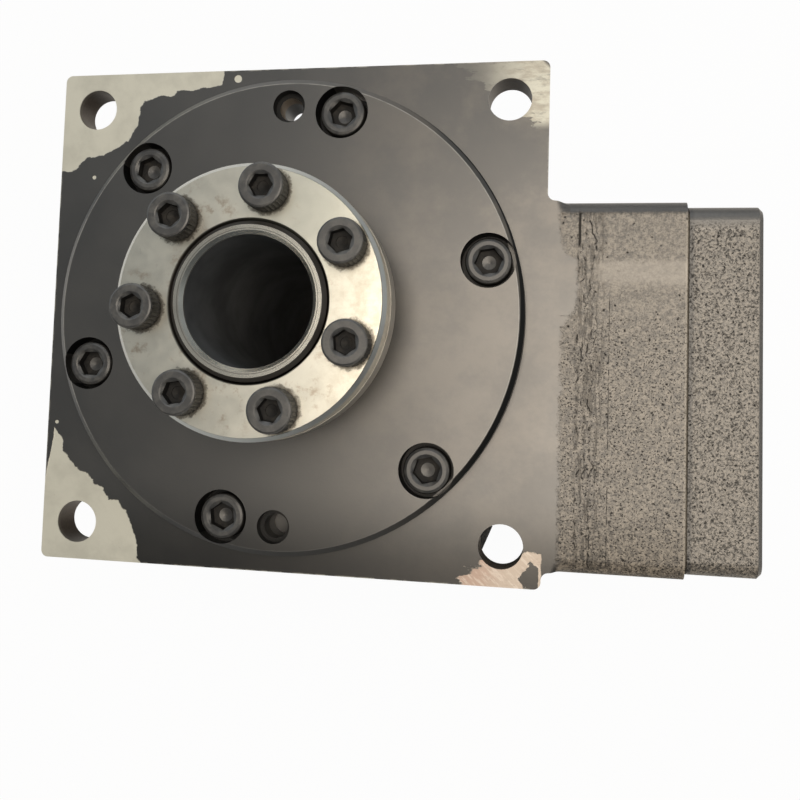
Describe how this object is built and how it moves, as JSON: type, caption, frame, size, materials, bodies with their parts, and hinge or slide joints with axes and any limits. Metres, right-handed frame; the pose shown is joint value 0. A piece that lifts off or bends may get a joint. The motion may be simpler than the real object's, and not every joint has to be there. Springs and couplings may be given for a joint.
{
  "type": "right angle gearbox",
  "caption": "Right angle gearbox: square flange, raised round cover, hollow output shaft with clamping disc, and a square motor neck at right angles.",
  "frame": {"origin": "on the output axis in the mounting face of the square flange", "axes": "+Z along the output axis out of the mounting face, +X along the input axis towards the motor, +Y up in the picture"},
  "size_m": [0.15, 0.1086, 0.121],
  "materials": {
    "black_paint": "semi-gloss, worn through to the metal at some corners",
    "cast_paint": "rough cast surface with thin dark paint",
    "adapter_metal": "rough dark",
    "turned_steel": "turned, satin",
    "bearing_steel": "ground",
    "gear_steel": "ground",
    "black_screws": "black oxide",
    "spring_steel": "satin",
    "seal_rubber": "matt",
    "plug_plastic": "matt",
    "gasket_fibre": "matt",
    "washer_metal": "satin"
  },
  "bodies": {
    "gear_case": {"housing": "black_paint", "front_cover": "black_paint", "front_cover_screws": "black_screws", "front_cover_o_ring": "seal_rubber", "front_oil_seal": "seal_rubber", "rear_oil_seal": "seal_rubber", "input_oil_seal": "seal_rubber", "rear_cover": "black_paint", "rear_cover_screws": "black_screws", "housing_retaining_ring": "spring_steel", "adapter_gasket": "gasket_fibre", "motor_adapter": "adapter_metal", "motor_adapter_screws": "black_screws", "access_plug": "plug_plastic", "oil_plug": "black_screws", "oil_plug_washer": "washer_metal", "front_bearing_outer_ring": "bearing_steel", "rear_bearing_outer_ring": "bearing_steel", "input_inner_bearing_outer_ring": "bearing_steel", "input_outer_bearing_outer_ring": "bearing_steel"},
    "output_shaft": {"hollow_shaft": "turned_steel", "ring_gear": "gear_steel", "ring_gear_screws": "black_screws", "front_bearing_inner_ring": "bearing_steel", "rear_bearing_inner_ring": "bearing_steel", "clamping_disc_hub": "turned_steel", "clamping_disc_ring": "turned_steel", "clamping_disc_screws": "black_screws"},
    "input_shaft": {"input_shaft": "gear_steel", "input_inner_bearing_inner_ring": "bearing_steel", "input_outer_bearing_inner_ring": "bearing_steel", "shaft_retaining_ring": "spring_steel", "clamp_ring": "turned_steel", "clamp_screw": "black_screws"},
    "front_ball_cage": {"front_bearing_cage": "bearing_steel", "front_bearing_balls": "bearing_steel"},
    "rear_ball_cage": {"rear_bearing_cage": "bearing_steel", "rear_bearing_balls": "bearing_steel"},
    "input_inner_ball_cage": {"input_inner_bearing_cage": "bearing_steel", "input_inner_bearing_balls": "bearing_steel"},
    "input_outer_ball_cage": {"input_outer_bearing_cage": "bearing_steel", "input_outer_bearing_balls": "bearing_steel"}
  },
  "joints": [
    {"name": "output_spin", "type": "hinge", "parent": "gear_case", "child": "output_shaft", "pos_m": [0, 0, 0], "axis": [0, 0, 1], "continuous": true},
    {"name": "input_spin", "type": "hinge", "parent": "gear_case", "child": "input_shaft", "pos_m": [0, -0.013, -0.038], "axis": [1, 0, 0], "continuous": true},
    {"name": "front_cage_spin", "type": "hinge", "parent": "gear_case", "child": "front_ball_cage", "pos_m": [0, 0, -0.0075], "axis": [0, 0, 1], "continuous": true},
    {"name": "rear_cage_spin", "type": "hinge", "parent": "gear_case", "child": "rear_ball_cage", "pos_m": [0, 0, -0.073], "axis": [0, 0, 1], "continuous": true},
    {"name": "input_inner_cage_spin", "type": "hinge", "parent": "gear_case", "child": "input_inner_ball_cage", "pos_m": [0.048, -0.013, -0.038], "axis": [1, 0, 0], "continuous": true},
    {"name": "input_outer_cage_spin", "type": "hinge", "parent": "gear_case", "child": "input_outer_ball_cage", "pos_m": [0.062, -0.013, -0.038], "axis": [1, 0, 0], "continuous": true}
  ],
  "couplings": [
    {"joint": "input_spin", "follows": "output_spin", "ratio": 3},
    {"joint": "front_cage_spin", "follows": "output_spin", "ratio": 0.4389},
    {"joint": "rear_cage_spin", "follows": "output_spin", "ratio": 0.4389},
    {"joint": "input_inner_cage_spin", "follows": "output_spin", "ratio": 1.1445},
    {"joint": "input_outer_cage_spin", "follows": "output_spin", "ratio": 1.1445}
  ]
}
